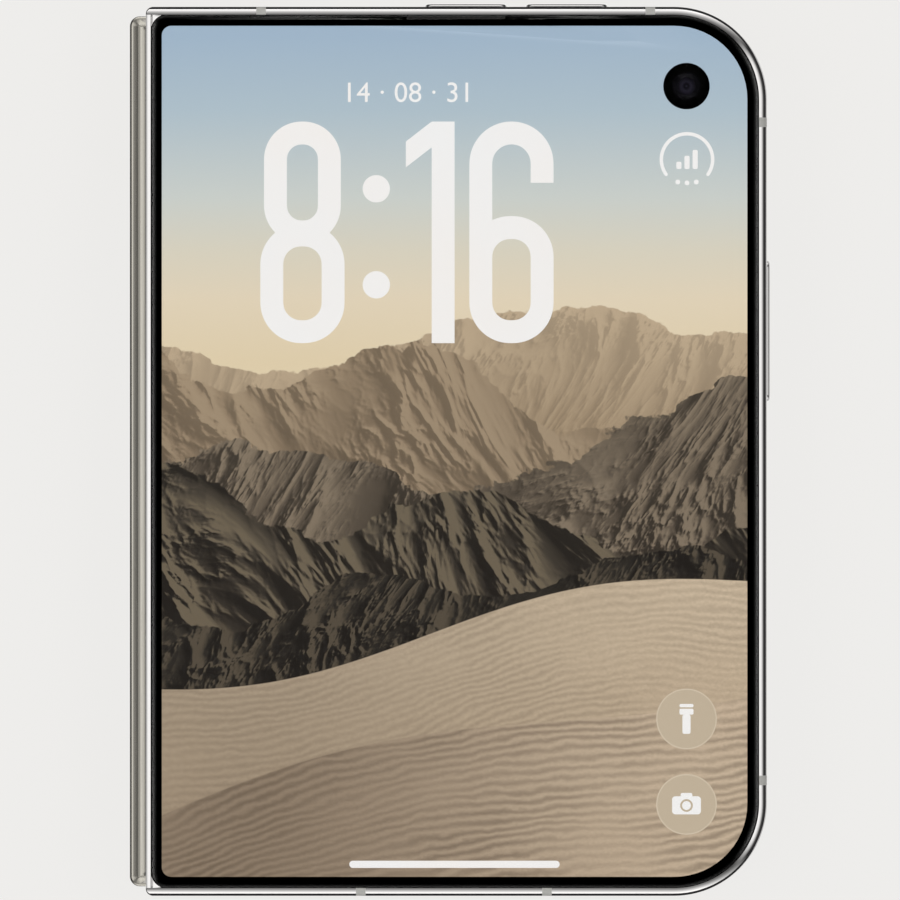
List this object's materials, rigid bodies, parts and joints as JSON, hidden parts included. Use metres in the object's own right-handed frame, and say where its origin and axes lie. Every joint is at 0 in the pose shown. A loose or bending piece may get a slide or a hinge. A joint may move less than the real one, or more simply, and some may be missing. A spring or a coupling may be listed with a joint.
{
  "type": "folding smartphone",
  "caption": "Book-style folding phone, shown folded, with a lit cover display, a polished metal band and a half-round spine whose geared hinge opens flat.",
  "frame": {"origin": "middle of the footprint, at the level of the camera rings that the folded phone lies on", "axes": "+X from the spine to the free edge, +Y to the top edge with the volume keys, +Z out of the cover display"},
  "size_m": [0.0868, 0.1208, 0.0115],
  "materials": {
    "polished_metal": "polished band with a hard clear coat",
    "spine_metal": "satin, warm silver",
    "antenna_plastic": "satin moulded insert flush with the band",
    "cover_glass": "clear flat glass with a fine rounded edge",
    "black_print": "black ink on the inside of the glass",
    "lit_display": "switched-on display with a home picture",
    "inner_display": "switched-off folding display under a clear film",
    "inner_bezel": "thin black frame round the folding display",
    "black_camera": "black lens barrel",
    "steel_mesh": "dark etched mesh",
    "dark_module": "moulded speaker box",
    "battery_foil": "black printed aluminium-laminate pouch",
    "circuit_board": "solder mask",
    "can_steel": "pressed sheet",
    "hinge_steel": "machined steel",
    "cable_film": "polyimide film",
    "rear_glass": "frosted back glass, pale silver",
    "ring_metal": "polished ring",
    "lens_glass": "dark coated cover lens",
    "flash_lens": "diffusing flash window"
  },
  "bodies": {
    "rear_half": {"rear_frame": "polished_metal", "rear_hinge_rail": "polished_metal", "rear_antenna_bands": "antenna_plastic", "rear_glass": "rear_glass", "camera_plateau": "rear_glass", "lens_rings": "ring_metal", "lens_glasses": "lens_glass", "rear_cameras": "black_camera", "flash_window": "flash_lens", "logic_board": "circuit_board", "shield_cans": "can_steel", "rear_battery": "battery_foil", "usb_port": "can_steel", "loudspeaker": "dark_module", "haptic_motor": "can_steel", "key_switches": "can_steel", "rear_plate": "hinge_steel", "rear_inner_panel": "inner_display", "rear_inner_bezel": "inner_bezel", "rear_knuckles": "hinge_steel", "rear_screws": "hinge_steel", "rear_bend": "inner_display"},
    "spine": {"spine_cover": "spine_metal", "hinge_base": "hinge_steel", "hinge_pins": "hinge_steel", "hinge_flex": "cable_film"},
    "cover_half": {"cover_frame": "polished_metal", "cover_hinge_rail": "polished_metal", "cover_antenna_bands": "antenna_plastic", "cover_glass": "cover_glass", "cover_mask": "black_print", "cover_display": "lit_display", "cover_battery": "battery_foil", "cover_board": "circuit_board", "cover_plate": "hinge_steel", "cover_inner_panel": "inner_display", "cover_inner_bezel": "inner_bezel", "cover_knuckles": "hinge_steel", "cover_screws": "hinge_steel", "cover_bend": "inner_display", "front_camera": "black_camera", "earpiece_mesh": "steel_mesh", "earpiece_speaker": "dark_module"},
    "volume_up": {"volume_up": "polished_metal"},
    "volume_down": {"volume_down": "polished_metal"},
    "side_button": {"side_button": "polished_metal"}
  },
  "joints": [
    {"name": "fold_rear", "type": "hinge", "parent": "rear_half", "child": "spine", "pos_m": [-0.04055, 0, 0.00575], "axis": [0, -1, 0], "range_deg": [0, 90], "deforming": ["rear_bend", "hinge_flex"]},
    {"name": "fold_cover", "type": "hinge", "parent": "spine", "child": "cover_half", "pos_m": [-0.04055, 0, 0.00745], "axis": [0, -1, 0], "range_deg": [0, 90], "deforming": ["cover_bend"]},
    {"name": "volume_up_press", "type": "slide", "parent": "rear_half", "child": "volume_up", "axis": [0, 1, 0], "range_m": [-0.00025, 0], "stiffness_N_per_m": 800, "springref_m": 0.0003},
    {"name": "volume_down_press", "type": "slide", "parent": "rear_half", "child": "volume_down", "axis": [0, 1, 0], "range_m": [-0.00025, 0], "stiffness_N_per_m": 800, "springref_m": 0.0003},
    {"name": "side_button_press", "type": "slide", "parent": "rear_half", "child": "side_button", "axis": [1, 0, 0], "range_m": [-0.00025, 0], "stiffness_N_per_m": 800, "springref_m": 0.0003}
  ],
  "couplings": [
    {"joint": "fold_cover", "follows": "fold_rear", "ratio": 1}
  ]
}
